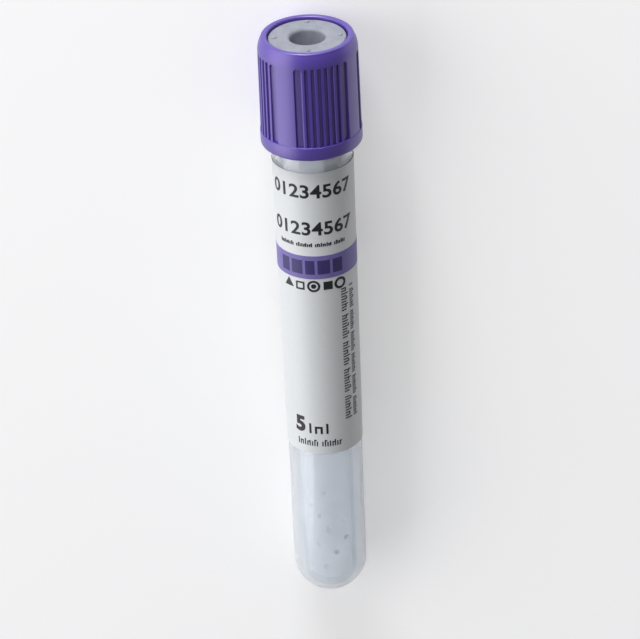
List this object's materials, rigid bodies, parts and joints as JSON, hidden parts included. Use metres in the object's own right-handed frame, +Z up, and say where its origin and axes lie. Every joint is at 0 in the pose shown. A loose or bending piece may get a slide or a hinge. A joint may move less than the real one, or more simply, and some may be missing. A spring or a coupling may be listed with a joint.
{
  "type": "blood collection tube",
  "caption": "Clear plastic tube with a rounded end and a wrapped label, closed by a rubber stopper with a needle well inside a ribbed purple safety cap; it lies on its side.",
  "frame": {"origin": "on the surface that the tube lies on, below the middle of its length", "axes": "+X along the tube from the rounded end to the cap, which the foot ring lifts by about 1.5 degrees, +Z up, +Y to the left when looking from the rounded end to the cap"},
  "size_m": [0.1036, 0.0162, 0.0165],
  "materials": {
    "clear_plastic": "polished",
    "grey_rubber": "satin",
    "purple_plastic": "satin",
    "label_paper": "satin",
    "purple_print": "satin",
    "black_print": "satin",
    "dried_additive": "matte"
  },
  "bodies": {
    "tube": {"tube": "clear_plastic", "label": "label_paper", "label_band": "purple_print", "fill_marks": "black_print", "additive": "dried_additive"},
    "closure": {"cap": "purple_plastic", "stopper": "grey_rubber"}
  },
  "joints": [
    {"name": "closure_pull", "type": "slide", "parent": "tube", "child": "closure", "axis": [0.9997, 0, 0.0258], "range_m": [0, 0.03]}
  ]
}
